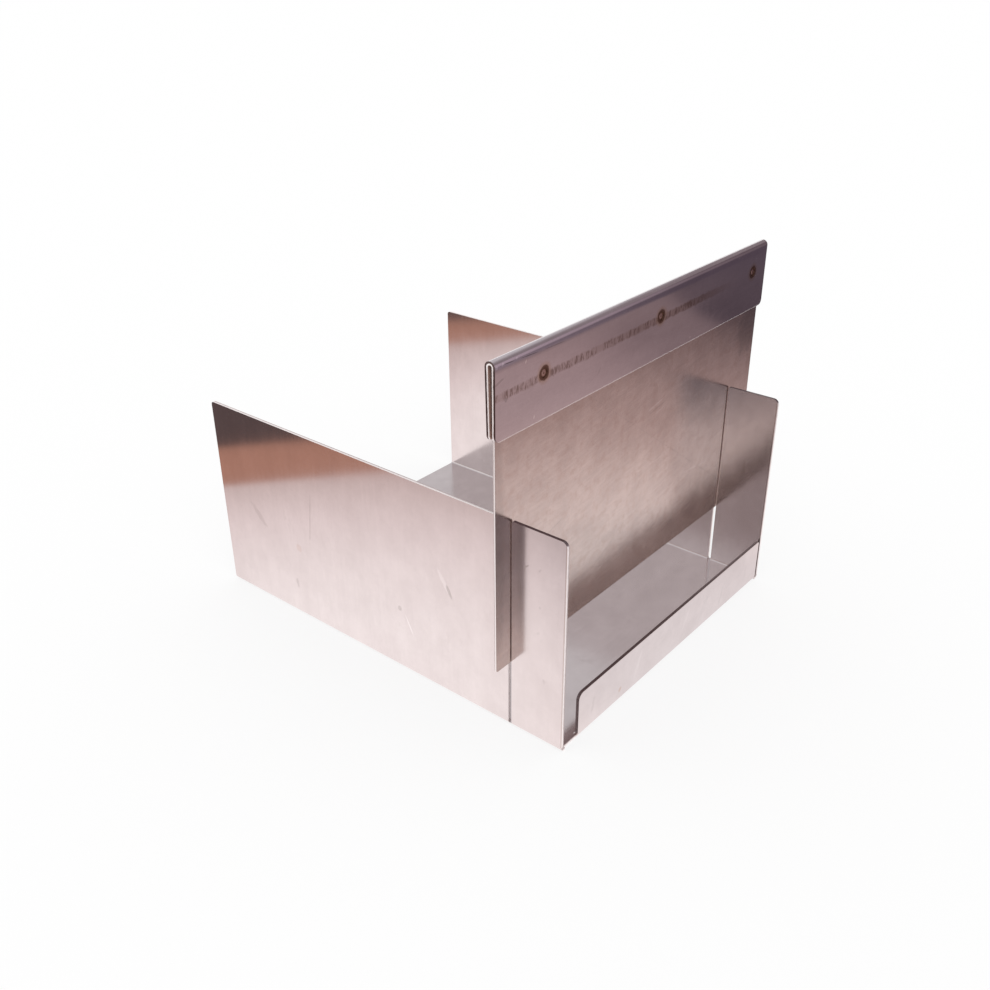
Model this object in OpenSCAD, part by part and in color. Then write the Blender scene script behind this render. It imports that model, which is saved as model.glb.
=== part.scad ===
// Soap cutter: a folded steel trough with a slot in each wall, and a flat blade
// with a folded grip cap that is pressed down through both slots.
// Origin: middle of the footprint, on the surface that the trough stands on.
// +X across the trough, +Y from the lip to the open rear end, +Z up.

/* [Trough] */
// Outer width of the trough
trough_w = 178; // [120:1:260]
// Length of the trough, front to rear
trough_l = 219; // [140:1:320]
// Height of the side walls
wall_h = 104.5; // [70:0.5:150]
// Thickness of the trough's sheet
sheet_t = 1.5; // [1:0.1:2.5]
// Inner radius of the folds
fold_r = 1; // [0.5:0.1:3]
// Radius of the front top corners of the walls
strip_corner_r = 2.8; // [0.5:0.1:8]
// Radius of the rear top corners of the walls
rear_corner_r = 1.5; // [0.5:0.1:8]
// Radius of the two corners at each slot's mouth
slot_corner_r = 0.8; // [0.3:0.1:3]

/* [Front lip] */
// Height of the lip
lip_h = 23.7; // [12:0.1:40]
// Gap between the left wall and the lip
lip_left_gap = 10.5; // [5:0.1:30]
// Gap between the right wall and the lip
lip_right_gap = 1; // [1:0.1:30]
// Radius of the lip's left top corner
lip_left_r = 3.4; // [0.5:0.1:8]
// Radius of the lip's right top corner
lip_right_r = 1; // [0.5:0.1:8]
// Radius of the relief at the lip's right lower corner
relief_r = 2.4; // [1:0.1:4]
// How far the floor is cut back beside the lip
notch_depth = 1; // [0.3:0.1:2]

/* [Slots] */
// Depth of the narrow wall strips in front of the slots
strip_w = 27.4; // [10:0.1:60]
// Play between the blade and each side of a slot
slot_play = 0.4; // [0.2:0.05:1]

/* [Blade] */
// Thickness of the blade
blade_t = 1; // [0.8:0.1:2]
// Half of what the blade is wider than the trough
blade_reach = 15.2; // [8:0.1:30]
// How far the loose blade stands to the right of the middle
blade_shift = 5.5; // [0:0.5:7]
// Radius of the blade's lower corners
blade_corner_r = 1.2; // [0.4:0.1:4]
// Height of the cutting edge above the floor, in the rest position
edge_lift = 33.5; // [1:0.5:60]

/* [Grip cap] */
// Thickness of the cap's sheet
cap_t = 1.5; // [1:0.1:2]
// Height of the cap's front leg
cap_h = 32.4; // [20:0.1:50]
// How much shorter the rear leg is
rear_leg_cut = 1; // [0:0.1:4]
// How far the cap stands out past each end of the blade
cap_reach = 1.4; // [0.5:0.1:6]
// Gap under the cap when the cutting edge is on the floor
cap_clear = 4.6; // [2:0.1:15]
// Play behind the blade at the cap's round nose
nose_play = 0.9; // [0.4:0.1:2]
// Play behind the blade at the foot of the rear leg
foot_play = 0.3; // [0.2:0.05:0.35]
// Radius of the front leg's lower corners
leg_corner_r = 2.8; // [0.5:0.1:8]

/* [Spot welds] */
// Number of spot welds
weld_count = 3; // [2:1:5]
// Distance from the cap's left end to the first weld
weld_left = 29.5; // [8:0.5:50]
// Distance from the cap's right end to the last weld
weld_right = 13; // [8:0.5:50]
// Distance of the welds below the cap's top
weld_drop = 13; // [8:0.1:14]
// Radius of a weld nugget
weld_r = 2.2; // [1.5:0.1:3]
// Depth of the electrode's dent in the cap's face
dent = 0.2; // [0.05:0.05:0.4]
// Width of the raised rim round a dent
rim_w = 0.35; // [0.1:0.05:0.6]
// Radius of the pip in the middle of a dent
pip_r = 0.8; // [0.3:0.1:0.8]
// Radial gap that stands for the line between nugget and sheet
weld_gap = 0.03; // [0.02:0.01:0.1]

/* [Hidden] */
$fn = 64;

steel = [0.80, 0.76, 0.75];
blade_steel = [0.60, 0.52, 0.50];
cap_steel = [0.56, 0.50, 0.53];
weld_brown = [0.40, 0.27, 0.22];

cut = 1;
outer_r = fold_r + sheet_t;
front_y = -trough_l / 2;
half_w = trough_w / 2;
slot_w = blade_t + 2 * slot_play;
slot_y = front_y + strip_w;

lip_x0 = -half_w + sheet_t + lip_left_gap;
lip_x1 = half_w - sheet_t - lip_right_gap;

blade_w = trough_w + 2 * blade_reach;
blade_y = slot_y + slot_play;
edge_z = sheet_t + edge_lift;
leg_foot_z = edge_z + wall_h - sheet_t + cap_clear;

nose_in = (blade_t + nose_play) / 2;
nose_out = nose_in + cap_t;
cap_w = blade_w + 2 * cap_reach;
cap_x0 = blade_shift - cap_w / 2;
cap_top = leg_foot_z + cap_h;
nose_y = blade_y + nose_in;
nose_z = cap_top - nose_out;
front_leg_l = cap_h - nose_out;
rear_leg_l = front_leg_l - rear_leg_cut;
rear_tilt = asin((nose_play - foot_play) / rear_leg_l);
// The blade's top stands in the straight part of the fold, just under the nose
blade_top = nose_z - nose_in / 2;
weld_z = cap_top - weld_drop;
weld_pitch = (cap_w - weld_left - weld_right) / (weld_count - 1);

// A corner of radius r to take off: the corner is at the origin, the material in +x and -y
module corner_waste(r) {
    difference() {
        translate([-cut, -r]) square([r + cut, r + cut]);
        translate([r, -r]) circle(r);
    }
}

// A plate's outline, w wide and h high, centred, with its two lower corners rounded
module foot_rounded(w, h, r) {
    difference() {
        translate([-w / 2, 0]) square([w, h]);
        for (side = [0, 1]) mirror([side, 0]) translate([-w / 2, 0]) mirror([0, 1]) corner_waste(r);
    }
}

// Cross section of the fold along one wall: w wide and h high outside, lower corners of radius r
module trough_outline(w, h, r) {
    translate([-w / 2, r]) square([w, h - r]);
    translate([-w / 2 + r, 0]) square([w - 2 * r, r]);
    for (side = [-1, 1]) translate([side * (w / 2 - r), r]) circle(r);
}

// Floor and both walls as one folded sheet
module channel() {
    rotate([90, 0, 0]) linear_extrude(height = trough_l, center = true) difference() {
        trough_outline(trough_w, wall_h, outer_r);
        translate([0, sheet_t]) trough_outline(trough_w - 2 * sheet_t, wall_h, fold_r);
    }
}

// Side view of what is cut out of both walls: the slot, and the rounded corners. x is the row's y
module wall_cuts() {
    translate([slot_y, sheet_t]) square([slot_w, wall_h]);
    translate([front_y, wall_h]) corner_waste(strip_corner_r);
    translate([-front_y, wall_h]) mirror([1, 0]) corner_waste(rear_corner_r);
    translate([slot_y, wall_h]) mirror([1, 0]) corner_waste(slot_corner_r);
    translate([slot_y + slot_w, wall_h]) corner_waste(slot_corner_r);
}

// The lip: the floor's front edge folded up, between two notches
module lip() {
    fold_y = front_y + outer_r;
    intersection() {
        rotate([90, 0, 90]) translate([0, 0, lip_x0]) linear_extrude(height = lip_x1 - lip_x0) {
            translate([fold_y, 0]) square([cut, sheet_t]);
            translate([front_y, outer_r]) square([sheet_t, lip_h - outer_r]);
            intersection() {
                difference() {
                    translate([fold_y, outer_r]) circle(outer_r);
                    translate([fold_y, outer_r]) circle(fold_r);
                }
                translate([front_y, 0]) square(outer_r);
            }
        }
        translate([0, front_y + outer_r + 2 * cut, 0]) rotate([90, 0, 0])
            linear_extrude(height = outer_r + 3 * cut) difference() {
                translate([lip_x0, 0]) square([lip_x1 - lip_x0, lip_h]);
                translate([lip_x0, lip_h]) corner_waste(lip_left_r);
                translate([lip_x1, lip_h]) mirror([1, 0]) corner_waste(lip_right_r);
                translate([lip_x1, 0]) mirror([1, 0]) mirror([0, 1]) corner_waste(relief_r);
            }
    }
}

// Plan view of the floor's front that is cut away: the lip's fold, and the notch at its left end
module floor_cuts() {
    translate([lip_x0, front_y - cut]) square([lip_x1 - lip_x0, outer_r + cut]);
    translate([-half_w + outer_r, front_y - cut])
        square([lip_x0 + half_w - outer_r + cut, notch_depth + cut]);
    translate([lip_x1 - cut, front_y - cut]) square([half_w - outer_r - lip_x1 + cut, outer_r + cut]);
}

module trough() {
    color(steel) union() {
        difference() {
            channel();
            rotate([90, 0, 90]) linear_extrude(height = trough_w + 2 * cut, center = true) wall_cuts();
            translate([0, 0, -cut]) linear_extrude(height = sheet_t + 2 * cut) floor_cuts();
        }
        lip();
    }
}

// Places its children at each weld, on the blade's front face, with z towards the front
module at_welds() {
    for (i = [0 : weld_count - 1])
        translate([cap_x0 + weld_left + i * weld_pitch, blade_y, weld_z])
            rotate([90, 0, 0]) children();
}

module weld_holes() {
    at_welds() translate([0, 0, -blade_t - cut])
        cylinder(r = weld_r + weld_gap, h = blade_t + cap_t + 2 * cut);
}

module blade() {
    color(blade_steel) difference() {
        translate([blade_shift, blade_y + blade_t, edge_z]) rotate([90, 0, 0])
            linear_extrude(height = blade_t) foot_rounded(blade_w, blade_top - edge_z, blade_corner_r);
        weld_holes();
    }
}

// Cross section of the cap, with the nose's centre at the origin and the front leg on the left
module cap_outline() {
    translate([-nose_out, -front_leg_l]) square([cap_t, front_leg_l]);
    rotate(-rear_tilt) translate([nose_in, -rear_leg_l]) square([cap_t, rear_leg_l]);
    difference() {
        circle(nose_out);
        circle(nose_in);
        below = 2 * nose_out;
        polygon([[-below, 0], [0, 0], [below * cos(rear_tilt), -below * sin(rear_tilt)],
            [below, -below], [-below, -below]]);
    }
}

module grip_cap() {
    color(cap_steel) difference() {
        intersection() {
            translate([cap_x0, nose_y, nose_z]) rotate([90, 0, 90]) linear_extrude(height = cap_w)
                cap_outline();
            translate([blade_shift, nose_y + 2 * nose_out, leg_foot_z]) rotate([90, 0, 0])
                linear_extrude(height = 4 * nose_out) foot_rounded(cap_w, cap_h + cut, leg_corner_r);
        }
        weld_holes();
    }
}

// One nugget joins the front leg and the blade: a pin with a round dent inside a rim
module nugget() {
    rim_top = cap_t - dent / 2;
    difference() {
        translate([0, 0, -blade_t]) cylinder(r = weld_r, h = blade_t + rim_top);
        translate([0, 0, rim_top - dent]) difference() {
            cylinder(r = weld_r - rim_w, h = dent + cut);
            cylinder(r = pip_r, h = dent / 2);
        }
    }
}

module spot_welds() {
    color(weld_brown) at_welds() nugget();
}

trough();
blade();
grip_cap();
spot_welds();
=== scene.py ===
from math import cos, radians, sin

import bmesh
import bpy
from mathutils import Euler, Matrix, Vector


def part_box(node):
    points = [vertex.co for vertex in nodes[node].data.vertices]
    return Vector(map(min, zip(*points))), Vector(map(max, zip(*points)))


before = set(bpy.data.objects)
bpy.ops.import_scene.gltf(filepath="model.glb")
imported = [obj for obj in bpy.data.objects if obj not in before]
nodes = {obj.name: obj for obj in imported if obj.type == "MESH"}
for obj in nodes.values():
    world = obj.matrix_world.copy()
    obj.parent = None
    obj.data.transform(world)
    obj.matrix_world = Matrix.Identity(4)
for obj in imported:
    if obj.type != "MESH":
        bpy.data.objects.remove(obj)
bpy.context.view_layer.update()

scene = bpy.context.scene
scene.view_settings.view_transform = "Standard"


# Camera
# It stands to the left and in front of the open front end and looks down at the blade.
# Its place and focal length are those fitted to the object's own edges.
EYE = Vector((-0.3741, -0.3103, 0.3137))
HEADING = radians(-50.30)
LOOK_DOWN = radians(28.38)
ROLL = radians(-0.41)
FOCAL_PX = 1061.4
FRAME_PX = 990
SENSOR_MM = 36.0

camera = bpy.data.objects.new("camera", bpy.data.cameras.new("camera"))
camera.data.sensor_width = SENSOR_MM
camera.data.lens = FOCAL_PX * SENSOR_MM / FRAME_PX
turn = Euler((radians(90) - LOOK_DOWN, 0, HEADING)).to_matrix().to_4x4()
camera.matrix_world = Matrix.Translation(EYE) @ turn @ Matrix.Rotation(ROLL, 4, "Z")
scene.collection.objects.link(camera)
scene.camera = camera


# Studio
# A white floor in a white room, with one large soft lamp high up on the left.
# Cards that only the steel mirrors stand for a brown table round a pale mat, a ceiling and a side wall.
FLOOR_SIZE = 12.0
FLOOR_PAINT = (0.88, 0.88, 0.88, 1.0)
FLOOR_GLOW = 0.75
LAMP_STRENGTH = 0.55
LAMP_SPREAD = radians(50)
LAMP_TURN = Euler((radians(35), radians(-25), 0.0))
CARD_HEIGHT = 0.0006
TABLE_RADIUS = 1300.0
CEILING_HALF = 2.5
SIDE_AWAY = 1.3

# Colour of the table at a distance in mm from the object's middle: a lit mat, bare wood, then dark
TABLE_RINGS = [
    (0, (1.10, 1.04, 1.05)), (112, (1.08, 1.02, 1.02)), (157, (1.00, 0.92, 0.92)),
    (203, (0.89, 0.78, 0.78)), (240, (0.74, 0.62, 0.61)), (300, (0.53, 0.40, 0.39)),
    (360, (0.45, 0.34, 0.34)), (450, (0.40, 0.29, 0.29)), (530, (0.33, 0.24, 0.24)),
    (620, (0.27, 0.195, 0.20)), (900, (0.40, 0.38, 0.38)), (1300, (0.95, 0.95, 0.95)),
]
# The table's left edge is a strip of orange wood, with a dark floor beyond it. The floor shows again
# past its far right corner. The near side lies in shade, and so does a patch by the lip.
WOOD_FROM, WOOD_TO = -247.0, -305.0
CORNER_RIGHT, CORNER_AWAY, SIDE_START = 543.0, 149.0, 155.0
SLOPE_LEFT_OF_CORNER, SLOPE_RIGHT_OF_CORNER, SIDE_SLOPE = 0.277, 0.1, 0.81
WOOD = (0.46, 0.24, 0.18, 1.0)
DARK_LEFT, DARK_RIGHT = (0.105, 0.075, 0.075, 1.0), (0.10, 0.075, 0.09, 1.0)
SHADE = (0.10, 0.115, 0.165, 1.0)
CEILING_HEIGHT = 1.0
CEILING, CEILING_RIGHT = (0.62, 0.60, 0.62, 1.0), (0.28, 0.235, 0.25, 1.0)
# Both ends of the room's right side, low down and high up
LOW_NEAR, LOW_FAR = (0.33, 0.26, 0.30, 1.0), (0.10, 0.075, 0.097, 1.0)
HIGH_NEAR, HIGH_FAR = (0.48, 0.385, 0.44, 1.0), (0.145, 0.11, 0.125, 1.0)


class Wire:
    """A socket in a material's nodes. Arithmetic on wires adds the Math nodes that work it out."""

    def __init__(self, tree, socket=None):
        self.tree = tree
        self.socket = socket

    def node(self, kind, settings=None, inputs=None, output=0):
        """Adds a node: its type, then its settings, then the values or wires of its sockets."""
        made = self.tree.nodes.new("ShaderNode" + kind)
        for name, value in (settings or {}).items():
            if name == "stops":
                ramp = made.color_ramp
                while len(ramp.elements) < len(value):
                    ramp.elements.new(1.0)
                for element, (place, colour) in zip(ramp.elements, value):
                    element.position = place
                    element.color = (*colour, 1.0)
            else:
                setattr(made, name, value)
        for name, value in (inputs or {}).items():
            if isinstance(value, Wire):
                self.tree.links.new(value.socket, made.inputs[name])
            else:
                made.inputs[name].default_value = value
        return Wire(self.tree, made.outputs[output])

    def math(self, operation, *values):
        return self.node("Math", {"operation": operation}, dict(enumerate(values)))

    def __add__(self, other):
        return self.math("ADD", self, other)

    __radd__ = __add__

    def __sub__(self, other):
        return self.math("SUBTRACT", self, other)

    def __rsub__(self, other):
        return self.math("SUBTRACT", other, self)

    def __mul__(self, other):
        return self.math("MULTIPLY", self, other)

    __rmul__ = __mul__

    def __truediv__(self, other):
        return self.math("DIVIDE", self, other)

    def __abs__(self):
        return self.math("ABSOLUTE", self)

    def rise(self, low, high):
        """0 below low, 1 above high, and smooth between them. With low above high it falls."""
        return self.node("MapRange", {"interpolation_type": "SMOOTHSTEP"},
                         {"Value": self, "From Min": low, "From Max": high})

    def blend(self, where_0, where_1):
        """A colour that goes from where_0 to where_1 as this wire goes from 0 to 1."""
        return self.node("Mix", {"data_type": "RGBA"}, {0: self, 6: where_0, 7: where_1}, 2)

    def split(self):
        """The three numbers of a vector."""
        parts = self.node("SeparateXYZ", inputs={0: self}).socket.node
        return [Wire(self.tree, socket) for socket in parts.outputs]

    def into(self, shader, socket):
        self.tree.links.new(self.socket, shader.inputs[socket])


def place_in_mm(bare):
    """Where a point of the object is, in millimetres."""
    place = bare.node("TexCoord", output="Object")
    return bare.node("VectorMath", {"operation": "SCALE"}, {0: place, "Scale": 1000.0}).split()


def new_material(name):
    """A material, its Principled shader, and a bare wire to start its nodes from."""
    material = bpy.data.materials.new(name)
    material.use_nodes = True
    return material, material.node_tree.nodes["Principled BSDF"], Wire(material.node_tree)


def sheet_on_stage(name, corners, material):
    """A flat sheet with its corners at these points, as stage."""
    mesh = bmesh.new()
    mesh.faces.new([mesh.verts.new(corner) for corner in corners])
    data = bpy.data.meshes.new(name)
    mesh.to_mesh(data)
    mesh.free()
    data.materials.append(material)
    made = bpy.data.objects.new(name, data)
    scene.collection.objects.link(made)
    return made


def square(half, height):
    return [(-half, -half, height), (half, -half, height), (half, half, height), (-half, half, height)]


def glowing(name, colour_from):
    """A material that shines in the colour that colour_from works out, whatever light falls on it."""
    material, shader, bare = new_material(name)
    light = bare.node("Emission", inputs={"Color": colour_from(bare), "Strength": 1.0})
    light.into(material.node_tree.nodes["Material Output"], "Surface")
    return material


def only_in_steel(card):
    card.visible_camera = False
    card.visible_diffuse = False
    card.visible_shadow = False
    card.rotation_euler.z = HEADING


# The floor's paint takes the object's shadow, and part of it shines white where it is seen
floor_paint, floor_shader, bare = new_material("white_floor")
floor_shader.inputs["Base Color"].default_value = FLOOR_PAINT
floor_shader.inputs["Roughness"].default_value = 0.9
floor_shader.inputs["Specular IOR Level"].default_value = 0.0
ray = {name: bare.node("LightPath", output=name)
       for name in ("Is Camera Ray", "Is Glossy Ray", "Is Transmission Ray")}
seen = ray["Is Camera Ray"] + ray["Is Glossy Ray"] + ray["Is Transmission Ray"]
shine = bare.node("Emission", inputs={"Color": (1.0, 1.0, 1.0, 1.0), "Strength": 1.0})
painted = Wire(bare.tree, floor_shader.outputs[0])
floor_mix = bare.node("MixShader", inputs={0: seen * FLOOR_GLOW, 1: painted, 2: shine})
floor_mix.into(floor_paint.node_tree.nodes["Material Output"], "Surface")
sheet_on_stage("floor", square(FLOOR_SIZE / 2, 0.0), floor_paint)


def round_the_room(right, away, up):
    """From 0 to 1 along the room's right side, away from the camera."""
    return (away / right - up / 3000).rise(-0.2, 0.33)


def table_colour(bare):
    right, away, up = place_in_mm(bare)
    distance = bare.math("SQRT", right * right + away * away)
    stops = [(at / TABLE_RADIUS, colour) for at, colour in TABLE_RINGS]
    rings = bare.node("ValToRGB", {"stops": stops}, {0: distance / TABLE_RADIUS})
    wood = right.rise(WOOD_FROM, WOOD_FROM - 9).blend(rings, WOOD)
    wood = right.rise(WOOD_TO, WOOD_TO - 9).blend(wood, DARK_LEFT)
    colour = distance.rise(420, 640).blend(wood, rings)
    in_shade = away.rise(-135, -245) * right.rise(260, 160) * right.rise(-260, -160) * 0.56
    by_the_lip = right.rise(20, 70) * right.rise(200, 150) * away.rise(30, -10) * 0.2
    colour = (in_shade + by_the_lip).blend(colour, SHADE)
    far_right = away.rise(-10, 110) * right.rise(350, 430) * right.rise(600, 470)
    colour = (far_right * 0.5).blend(colour, DARK_RIGHT)
    rise_left = (CORNER_RIGHT - right) * SLOPE_LEFT_OF_CORNER
    rise_right = (right - CORNER_RIGHT) * SLOPE_RIGHT_OF_CORNER
    past_front = away - CORNER_AWAY - bare.math("MAXIMUM", rise_left, rise_right)
    past_side = CORNER_RIGHT + (away - SIDE_START) * SIDE_SLOPE - right
    dark_corner = past_front.rise(-5, 5) * (0.75 + past_side.rise(-12, 12) * 0.25) * right.rise(330, 400)
    colour = dark_corner.blend(colour, DARK_RIGHT)
    low_down = round_the_room(right, away, up).blend(LOW_NEAR, LOW_FAR)
    return right.rise(530, 720).blend(colour, low_down)


only_in_steel(sheet_on_stage("table_card", square(TABLE_RADIUS / 1000, CARD_HEIGHT),
                             glowing("table_card", table_colour)))


def ceiling_colour(bare):
    """It grows darker to the right, where the side card hangs down from it."""
    right = place_in_mm(bare)[0]
    return right.rise(150, 750).blend(CEILING, CEILING_RIGHT)


def side_colour(bare):
    right, away, up = place_in_mm(bare)
    round_off = round_the_room(right, away, up)
    high_up = round_off.blend(HIGH_NEAR, HIGH_FAR)
    return up.rise(0, 350).blend(round_off.blend(LOW_NEAR, LOW_FAR), high_up)


only_in_steel(sheet_on_stage("ceiling_card", square(CEILING_HALF, CEILING_HEIGHT),
                             glowing("ceiling_card", ceiling_colour)))
side_corners = [(SIDE_AWAY, -SIDE_AWAY, CARD_HEIGHT), (SIDE_AWAY, SIDE_AWAY, CARD_HEIGHT),
                (SIDE_AWAY, SIDE_AWAY, CEILING_HEIGHT), (SIDE_AWAY, -SIDE_AWAY, CEILING_HEIGHT)]
only_in_steel(sheet_on_stage("side_card", side_corners,
                             glowing("side_card", side_colour)))

room = bpy.data.worlds.new("room")
room.use_nodes = True
room.node_tree.nodes["Background"].inputs["Color"].default_value = (1.0, 1.0, 1.0, 1.0)
room.node_tree.nodes["Background"].inputs["Strength"].default_value = 1.0
scene.world = room

lamp = bpy.data.objects.new("softbox", bpy.data.lights.new("softbox", "SUN"))
lamp.data.energy = LAMP_STRENGTH
lamp.data.angle = LAMP_SPREAD
lamp.rotation_euler = LAMP_TURN
scene.collection.objects.link(lamp)


# Trough
# One folded sheet of brushed stainless steel: floor, two walls with a slot each, and a low lip.
# It was laser cut flat and folded, and its grain runs across the floor and up both walls.
SHEET = 1.5
FOLD_TOP = 2.6
LIP_TOP = 23.7
LIP_LEFT, LIP_RIGHT = -77.0, 86.5
SLOT_FRONT = -82.1
EDGE_BREAK = 0.00012
TROUGH_STEEL = (0.84, 0.78, 0.77, 1.0)
TROUGH_GREY = (0.73, 0.67, 0.66, 1.0)
CUT_BRIGHT = (0.95, 0.88, 0.87, 1.0)
CUT_DARK = (0.55, 0.47, 0.46, 1.0)
# The dark of the lip's edges and the strips' tops is painted shade
CUT_SHADE = (0.30, 0.245, 0.245, 1.0)
# The burr's own brown, deepened by painted shade beside the walls' front edges
BURR_AND_SHADE_BROWN = (0.42, 0.32, 0.27, 1.0)
EDGE_MATT = 0.6
SMUDGE = (0.30, 0.27, 0.25, 1.0)
# Painted glints: bright spots and streaks where light catches scratches and dings
PAINTED_GLINT = (0.97, 0.93, 0.92, 1.0)
RUST = (0.62, 0.36, 0.22, 1.0)

# Marks on the left wall, smudges and rust, and painted glints: y and z in mm, half length and half
# width, lean to the rear in degrees, colour and strength
WALL_MARKS = [
    (42.3, 61.6, 17.0, 0.55, -7.5, SMUDGE, 0.20),
    (-44.3, 59.9, 8.0, 1.3, 32.0, PAINTED_GLINT, 0.35),
    (-47.1, 56.4, 4.2, 1.1, 25.0, SMUDGE, 0.40),
    (-16.0, 34.5, 1.7, 1.4, 0.0, SMUDGE, 0.30),
    (-21.9, 26.7, 6.6, 0.45, 26.0, PAINTED_GLINT, 0.60),
    (53.2, 40.6, 2.4, 2.4, 0.0, RUST, 0.14),
    (57.0, 19.0, 3.2, 1.1, 5.0, SMUDGE, 0.22),
    (82.3, 49.7, 8.5, 2.0, 45.0, SMUDGE, 0.16),
    (-90.0, 86.7, 1.6, 0.45, -50.0, SMUDGE, 0.34),
    (-96.5, 87.0, 1.3, 0.6, -35.0, SMUDGE, 0.14),
    (-96.8, 69.4, 0.9, 0.5, 10.0, SMUDGE, 0.18),
    (-99.5, 33.2, 1.2, 0.8, 30.0, SMUDGE, 0.12),
]
# Marks on the lip's front, smudges and rust, and painted glints: x and z in mm, and the rest as above
LIP_MARKS = [
    (-44.4, 6.8, 1.7, 1.2, 30.0, RUST, 0.32),
    (-30.0, 12.0, 9.0, 1.2, 24.0, PAINTED_GLINT, 0.16),
    (12.0, 13.0, 8.0, 1.0, 30.0, PAINTED_GLINT, 0.14),
    (30.0, 12.0, 7.0, 2.5, 35.0, SMUDGE, 0.06),
    (48.0, 10.0, 6.0, 0.8, 18.0, SMUDGE, 0.12),
    (-66.0, 12.0, 5.0, 1.5, 12.0, SMUDGE, 0.10),
]


def facing(bare):
    """How squarely a face looks along X, along Y and along Z, from 0 to 1."""
    return [abs(part) for part in bare.node("TexCoord", output="Normal").split()]


def noise(bare, parts, detail=2.0, roughness=0.5):
    """Noise that changes once per unit of each part."""
    where = bare.node("CombineXYZ", inputs=dict(enumerate(parts)))
    return bare.node("TexNoise", {"noise_dimensions": "3D"},
                     {"Vector": where, "Scale": 1.0, "Detail": detail, "Roughness": roughness})


def draw_marks(colour, marks, u, v, face, rough):
    """Adds ragged marks to a colour, at u and v on one face: smudges, rust and painted glints. Each
    leans from v towards u.
    """
    for mark_u, mark_v, half_length, half_width, lean, shade, strength in marks:
        du, dv = u - mark_u, v - mark_v
        along = (du * sin(radians(lean)) + dv * cos(radians(lean))) / half_length
        across = (du * cos(radians(lean)) - dv * sin(radians(lean))) / half_width
        inside = (along * along + across * across + rough).rise(1.0, 0.3)
        colour = (inside * face * strength).blend(colour, shade)
    return colour


def bumps(bare, shader, distance, height):
    bump = bare.node("Bump", inputs={"Strength": 1.0, "Distance": distance, "Height": height})
    bump.into(shader, "Normal")


def dress(name, material):
    """Gives a piece its material, joins the solid's flats and breaks its sharp edges."""
    piece = nodes[name]
    piece.data.materials.clear()
    piece.data.materials.append(material)
    weld = piece.modifiers.new("join_corners", "WELD")
    weld.merge_threshold = 1e-6
    merge = piece.modifiers.new("merge_flats", "DECIMATE")
    merge.decimate_type = "DISSOLVE"
    merge.angle_limit = radians(0.05)
    round_off = piece.modifiers.new("break_edges", "BEVEL")
    round_off.width = EDGE_BREAK
    round_off.segments = 2
    round_off.limit_method = "ANGLE"
    round_off.angle_limit = radians(35)
    shade = piece.modifiers.new("flat_faces", "WEIGHTED_NORMAL")
    shade.weight = 100


low, high = [corner * 1000 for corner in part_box("trough")]
outer, front = high.x, low.y
material, shader, bare = new_material("brushed_sheet")
x, y, z = place_in_mm(bare)
nx, ny, nz = facing(bare)
side = bare.math("SIGN", x)

above_fold = z.rise(FOLD_TOP - 0.1, FOLD_TOP)
wall = abs(x).rise(outer - SHEET - 0.2, outer - SHEET - 0.05) * above_fold
lip = y.rise(front + SHEET + 0.4, front + SHEET + 0.2) * above_fold * (1 - wall)
lip_span = x.rise(LIP_LEFT - 0.2, LIP_LEFT) * x.rise(LIP_RIGHT + 0.2, LIP_RIGHT)

across = y - z * lip
along = x + z * side * (1 - lip)
fine = noise(bare, (across * 2.4, along * 0.07, side * 40), 3.0, 0.6)
streaks = noise(bare, (across * 0.62, along * 0.022, side * 40 + 7), 4.0, 0.62)
bands = noise(bare, (across * 0.085, along * 0.008, side * 40 + 19))
cloud = noise(bare, (x * 0.045 + side * 30, y * 0.045, z * 0.045), 3.0, 0.55)
wear = noise(bare, (x * 0.35, y * 0.35, z * 0.35 + 11), 4.0, 0.6)
blots = noise(bare, (x * 0.11, y * 0.11 + side * 20, z * 0.08), 4.0, 0.6)
grain = fine * 0.2 + streaks * 0.35 + bands * 0.45

tone = (grain - 0.5) * 1.5 + (cloud - 0.5) * 1.3 + (blots - 0.5) * 1.2 + (wear - 0.5) * 0.5
colour = tone.rise(-0.9, 0.9).blend(TROUGH_GREY, TROUGH_STEEL)
stains = (cloud * 0.6 + wear * 0.4).rise(0.60, 0.74) * 0.16
colour = stains.blend(colour, SMUDGE)
rough = (wear - 0.5) * 1.6
colour = draw_marks(colour, WALL_MARKS, y, z, x.rise(-outer + 0.3, -outer + 0.1), rough)
colour = draw_marks(colour, LIP_MARKS, x, z, y.rise(front + 0.3, front + 0.1) * lip, rough)

# Painted shade, with the burr's own brown: a brown band on the walls beside their front cut edges
burr_and_shade = wall * y.rise(front + 0.75, front + 0.45) * (0.5 + wear)
colour = (burr_and_shade * 0.4).blend(colour, BURR_AND_SHADE_BROWN)

# Cut edges: a bright burnished half next to the outer face and a torn, dull half next to the inner.
# The lip's edges and the tops of the narrow strips in front of the slots are painted dark, as painted
# shade.
ends = (1 - wall) * (1 - lip) * ny.rise(0.6, 0.8) * (1 - lip_span * y.rise(0, -1))
cut = wall * nx.rise(0.6, 0.35) + lip * ny.rise(0.6, 0.35) + ends
depth = wall * (outer - abs(x)) + lip * (y - front) + (1 - wall) * (1 - lip) * z
torn = (depth + (wear - 0.5) * 0.6).rise(0.75, 1.05)
shaded_cut = cut * (wall * nz.rise(0.3, 0.6) * y.rise(SLOT_FRONT + 0.2, SLOT_FRONT) + lip)
edge = shaded_cut.blend(torn.blend(CUT_BRIGHT, CUT_DARK), CUT_SHADE)
cut.blend(colour, edge).into(shader, "Base Color")
(1 - (cut - shaded_cut) * EDGE_MATT).into(shader, "Metallic")

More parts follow.
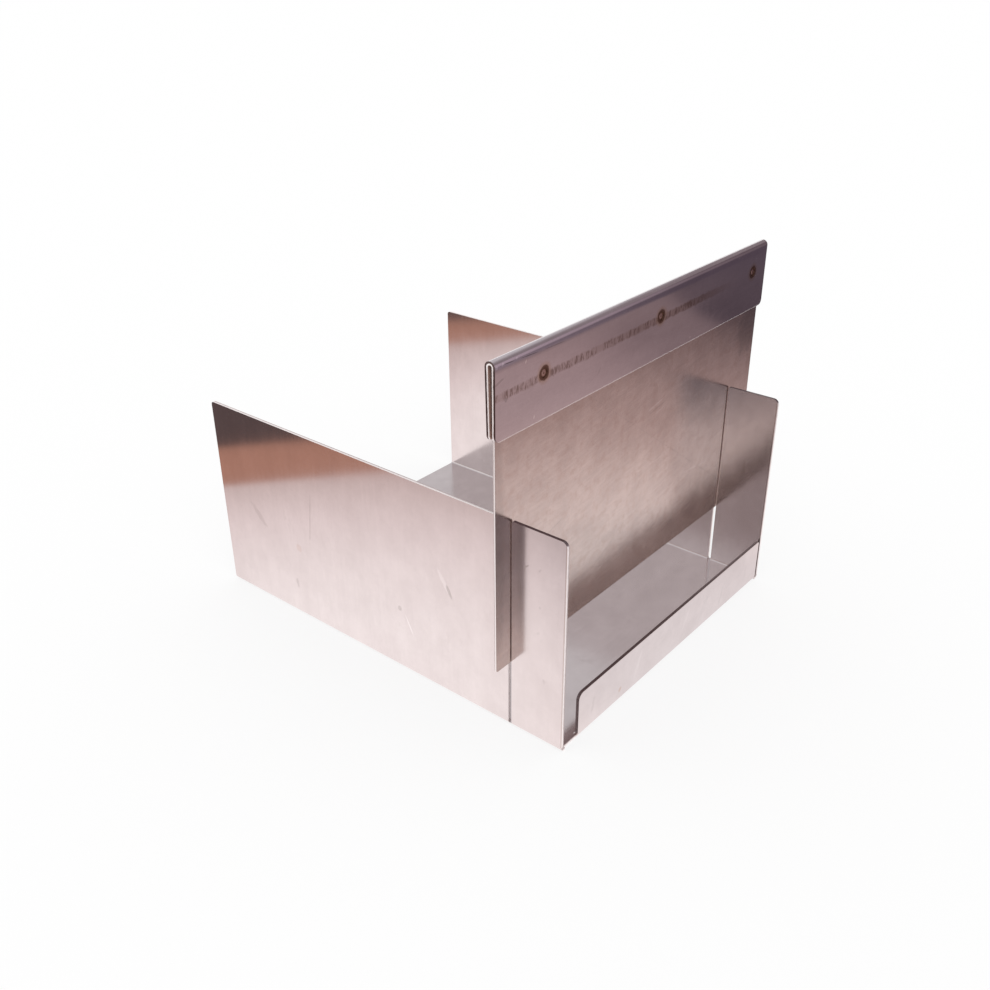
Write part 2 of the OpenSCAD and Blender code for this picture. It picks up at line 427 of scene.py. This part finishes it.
roughness = 0.15 + (fine - 0.5) * 0.10 + (streaks - 0.5) * 0.05 + (cloud - 0.5) * 0.05 + stains * 0.5
(roughness * (1 - cut) + cut * (0.38 + torn * 0.15)).into(shader, "Roughness")
swell = noise(bare, (x * 0.014, y * 0.014 + side * 9, z * 0.014), 0.0)
bumps(bare, shader, 0.0000022, streaks * 0.55 + fine * 0.20 + swell * 30.0 + torn * cut * wear * 8.0)
shader.inputs["Anisotropic"].default_value = 0.75
dress("trough", material)


# Blade
# One flat stainless sheet that drops through both slots, wiped and scratched by use.
# Its fine scratches slant a few degrees up to the right.
BLADE_STEEL = (0.80, 0.705, 0.655, 1.0)
BLADE_GREY = (0.59, 0.51, 0.475, 1.0)
BLADE_BROWN = (0.52, 0.40, 0.35, 1.0)
HEM_BROWN = (0.40, 0.26, 0.22, 1.0)
SCRATCH_SLANT = radians(6)
HEM_FROM, HEM_TO = 144.0, 147.0
# Marks on the blade's front, as on the trough: smudges, and painted glints
BLADE_MARKS = [
    (18.6, 116.7, 8.0, 0.5, 80.0, SMUDGE, 0.30),
    (17.0, 118.6, 8.5, 0.6, 80.0, PAINTED_GLINT, 0.30),
    (20.0, 114.6, 7.0, 0.5, 79.0, PAINTED_GLINT, 0.22),
    (47.0, 121.0, 4.5, 0.7, 8.0, SMUDGE, 0.18),
    (-62.0, 88.0, 11.0, 0.5, 74.0, SMUDGE, 0.14),
    (60.0, 70.0, 14.0, 0.6, 97.0, PAINTED_GLINT, 0.20),
    (-20.0, 58.0, 9.0, 0.5, 68.0, SMUDGE, 0.16),
    (103.0, 133.0, 16.0, 13.0, 0.0, SMUDGE, 0.36),
    (-98.5, 95.0, 75.0, 6.5, 0.0, SMUDGE, 0.24),
]

low, high = [corner * 1000 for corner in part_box("blade")]
material, shader, bare = new_material("wiped_blade")
x, y, z = place_in_mm(bare)
ny = facing(bare)[1]
rear = y.rise(low.y, high.y)
along = x * cos(SCRATCH_SLANT) + z * sin(SCRATCH_SLANT)
across = z * cos(SCRATCH_SLANT) - x * sin(SCRATCH_SLANT)
wander = noise(bare, (x * 0.03, rear * 5, z * 0.03), 1.0) * 4.0
fine = noise(bare, (along * 0.09, rear * 20, (across + wander) * 2.2), 4.0, 0.65)
streaks = noise(bare, (along * 0.035, rear * 20 + 5, (across + wander) * 0.5), 3.0, 0.6)
cloud = noise(bare, (x * 0.06, rear * 9, z * 0.06 + 3), 4.0, 0.6)
mottle = noise(bare, (x * 0.22, rear * 9 + 3, z * 0.22), 4.0, 0.6)
grit = noise(bare, (x * 1.3, rear * 9 + 3, z * 1.3), 3.0, 0.6)
tone = (fine - 0.5) * 0.9 + (streaks - 0.5) * 0.7 + (cloud - 0.5) * 2.0 + (mottle - 0.5) * 0.9
tone = tone + (grit - 0.5) * 0.8
colour = tone.rise(-0.8, 0.8).blend(BLADE_GREY, BLADE_STEEL)
colour = (mottle.rise(0.42, 0.72) * 0.45).blend(colour, BLADE_BROWN)
# Painted shade: a brown band on the blade just below the cap's feet
shade_under_cap = z.rise(134, 142) * (mottle + 0.2)
colour = (shade_under_cap * 0.35).blend(colour, BLADE_BROWN)
in_hem = z.rise(HEM_FROM, HEM_TO)
colour = in_hem.blend(colour, HEM_BROWN)
colour = draw_marks(colour, BLADE_MARKS, x, z, y.rise(low.y + 0.4, low.y + 0.2), (mottle - 0.5) * 2)
cut = ny.rise(0.6, 0.35) * (1 - in_hem)
torn = (y - low.y + (mottle - 0.5) * 0.5).rise(0.5, 0.75)
cut.blend(colour, torn.blend(CUT_BRIGHT, CUT_DARK)).into(shader, "Base Color")
(1 - cut * EDGE_MATT - in_hem * 0.8).into(shader, "Metallic")
roughness = 0.21 + (fine - 0.5) * 0.10 + (cloud - 0.5) * 0.12 + (mottle - 0.5) * 0.05
(roughness * (1 - cut) + cut * (0.30 + torn * 0.2) + in_hem * 0.4).into(shader, "Roughness")
swell = noise(bare, (x * 0.013, rear, z * 0.013), 0.0)
bumps(bare, shader, 0.000002, fine * 0.4 + streaks * 0.5 + swell * 24.0)
shader.inputs["Anisotropic"].default_value = 0.35
shader.inputs["Anisotropic Rotation"].default_value = 0.25
dress("blade", material)


# Grip cap
# One smooth stainless strip folded over the blade's top as an open hem, and spot welded to it.
# The welding left brown heat tint round the nuggets and a line of scale between them.
CAP_STEEL = (0.78, 0.72, 0.74, 1.0)
CAP_GREY = (0.66, 0.60, 0.62, 1.0)
CAP_BROWN = (0.50, 0.38, 0.33, 1.0)
TINT_BROWN = (0.165, 0.080, 0.050, 1.0)
TINT_STRAW = (0.62, 0.47, 0.36, 1.0)
CAP_TORN = (0.13, 0.085, 0.08, 1.0)
WELD_LINE = 2.2
LEG_FOOT = 142.6
REAR_LEG_LEAN = 0.0207
BEND_FROM, BEND = 170.0, 12.0
# Marks on the cap's front: dark dashes and smudges, and painted glints at the nose and the feet
CAP_MARKS = [
    (-92.0, 172.7, 3.2, 0.28, 94.0, SMUDGE, 0.75),
    (-80.0, 172.0, 6.0, 0.24, 93.0, SMUDGE, 0.70),
    (-64.0, 171.3, 8.0, 0.18, 92.0, SMUDGE, 0.45),
    (-99.0, 172.6, 0.9, 0.8, 60.0, PAINTED_GLINT, 0.9),
    (-95.6, 172.9, 0.9, 0.5, 40.0, PAINTED_GLINT, 0.8),
    (-87.4, 173.0, 0.6, 0.5, 40.0, PAINTED_GLINT, 0.7),
    (-82.0, 170.1, 0.9, 0.45, 20.0, PAINTED_GLINT, 0.9),
    (-76.7, 145.7, 1.0, 0.35, 15.0, PAINTED_GLINT, 0.9),
    (40.8, 144.8, 0.5, 0.8, 0.0, PAINTED_GLINT, 0.9),
    (-93.9, 158.6, 1.2, 1.0, 0.0, SMUDGE, 0.35),
    (-98.0, 166.6, 0.6, 3.6, -18.0, SMUDGE, 0.30),
    (-33.0, 151.0, 2.6, 0.5, 40.0, SMUDGE, 0.16),
    (62.0, 150.0, 4.0, 0.6, 70.0, PAINTED_GLINT, 0.18),
]

weld_low, weld_high = [corner * 1000 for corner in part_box("spot_welds")]
weld_r = (weld_high.z - weld_low.z) / 2
weld_z = (weld_high.z + weld_low.z) / 2
weld_x = [weld_low.x + weld_r, (weld_low.x + weld_high.x) / 2, weld_high.x - weld_r]


def from_welds(bare, x, z):
    """How far a point is from the nearest weld's middle, in mm."""
    height = (z - weld_z) * (z - weld_z)
    reaches = [bare.math("SQRT", (x - centre) * (x - centre) + height) for centre in weld_x]
    return bare.math("MINIMUM", bare.math("MINIMUM", reaches[0], reaches[1]), reaches[2])


low, high = [corner * 1000 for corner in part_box("grip_cap")]
material, shader, bare = new_material("smooth_cap")
x, y, z = place_in_mm(bare)
nx, ny = facing(bare)[:2]
front_leg = y.rise(low.y + 1.7, low.y + 1.4)
fine = noise(bare, (x * 0.05, y * 3, z * 1.6), 4.0, 0.6)
cloud = noise(bare, (x * 0.03, y * 0.1, z * 0.09), 3.0, 0.55)
mottle = noise(bare, (x * 0.3, y * 0.3, z * 0.3), 4.0, 0.62)
grit = noise(bare, (x * 1.3, y * 1.3, z * 1.3), 3.0, 0.6)
tone = (fine - 0.5) * 0.5 + (cloud - 0.5) * 1.6 + (mottle - 0.5) * 0.8 + (grit - 0.5) * 0.7
colour = tone.rise(-0.8, 0.8).blend(CAP_GREY, CAP_STEEL)

# The line of scale: broken upright ticks on a faint brown band between the welds
line = abs(z - weld_z + 1.0 - x * 0.004)
ticks = noise(bare, (x * 1.1, 3.0, z * 0.22), 3.0, 0.75).rise(0.44, 0.58)
patches = noise(bare, (x * 0.11, 9.0, 0.0)).rise(0.36, 0.50)
band = (line + (mottle - 0.5) * 2.4).rise(WELD_LINE, WELD_LINE * 0.45) * x.rise(85, 50) * front_leg
scale = band * ticks * patches * x.rise(60, 40)
colour = (band * (0.25 + x.rise(-60, 40) * 0.35)).blend(colour, CAP_BROWN)
colour = (scale * 0.62).blend(colour, TINT_BROWN)
colour = draw_marks(colour, CAP_MARKS, x, z, front_leg, (mottle - 0.5) * 1.4)

reach = from_welds(bare, x, z) + (mottle - 0.5) * 1.1
burnt = reach.rise(3.5, 2.8) * front_leg
colour = (reach.rise(5.4, 3.0) * front_leg * 0.6).blend(colour, TINT_STRAW)
colour = (burnt * 0.92).blend(colour, TINT_BROWN)

# The strip's cut edges: the feet, and both ends, where the outer half is torn and the inner bright
nose_r = (high.y - low.y) / 2
nose_y, nose_z = low.y + nose_r, high.z - nose_r
below_nose = bare.math("MAXIMUM", nose_z - z, 0.0)
above_nose = bare.math("MAXIMUM", z - nose_z, 0.0)
from_middle = y - nose_y + below_nose * y.rise(nose_y, nose_y + 0.1) * REAR_LEG_LEAN
depth = nose_r - bare.math("SQRT", from_middle * from_middle + above_nose * above_nose)
torn = (depth + (mottle - 0.5) * 0.5).rise(1.0, 0.7)
foot = ny.rise(0.8, 0.5) * z.rise(LEG_FOOT + 6, LEG_FOOT + 5)
cut = bare.math("MAXIMUM", nx.rise(0.5, 0.7), foot)
# Painted highlight: a bright line along the foot of each leg, where its rounded lower edge catches light
foot_highlight = z.rise(LEG_FOOT + 0.55, LEG_FOOT + 0.25) * (1 - cut)
colour = (foot_highlight * (0.35 + mottle * 0.6)).blend(colour, CUT_BRIGHT)
in_hem = depth.rise(1.3, 1.45) * (1 - cut)
colour = in_hem.blend(colour, HEM_BROWN)
cut.blend(colour, torn.blend(CUT_BRIGHT, CAP_TORN)).into(shader, "Base Color")
(1 - (cut * (1 - torn) + foot_highlight * 0.4) * EDGE_MATT - in_hem * 0.8).into(shader, "Metallic")
roughness = 0.125 + (fine - 0.5) * 0.05 + (cloud - 0.5) * 0.08 + (mottle - 0.5) * 0.06
roughness = roughness + burnt * 0.2 + scale * 0.1
(roughness * (1 - cut) + cut * 0.32 + in_hem * 0.4).into(shader, "Roughness")
swell = noise(bare, (x * 0.02, 1.0, z * 0.03), 1.0)
into_bend = bare.math("MAXIMUM", z - BEND_FROM, 0.0)
bumps(bare, shader, 0.000002, fine * 0.25 + mottle * 0.5 + swell * 12.0 - into_bend * into_bend * BEND)
shader.inputs["Anisotropic"].default_value = 0.2
shader.inputs["Anisotropic Rotation"].default_value = 0.25
dress("grip_cap", material)


# Spot welds
# Three nuggets that fuse the cap's front leg to the blade, dented by the welding tip.
NUGGET_RING = (0.17, 0.095, 0.06, 1.0)
NUGGET_DISC = (0.50, 0.34, 0.29, 1.0)

material, shader, bare = new_material("weld_nuggets")
x, y, z = place_in_mm(bare)
mottle = noise(bare, (x * 0.9, y * 0.9, z * 0.9), 4.0, 0.65)
reach = from_welds(bare, x, z) + (mottle - 0.5) * 0.7
colour = reach.rise(1.55, 1.15).blend(NUGGET_RING, NUGGET_DISC)
(reach.rise(0.55, 0.3) * 0.8).blend(colour, NUGGET_RING).into(shader, "Base Color")
(0.30 + (mottle - 0.5) * 0.3).into(shader, "Roughness")
bumps(bare, shader, 0.00003, mottle)
shader.inputs["Metallic"].default_value = 1.0
dress("spot_welds", material)
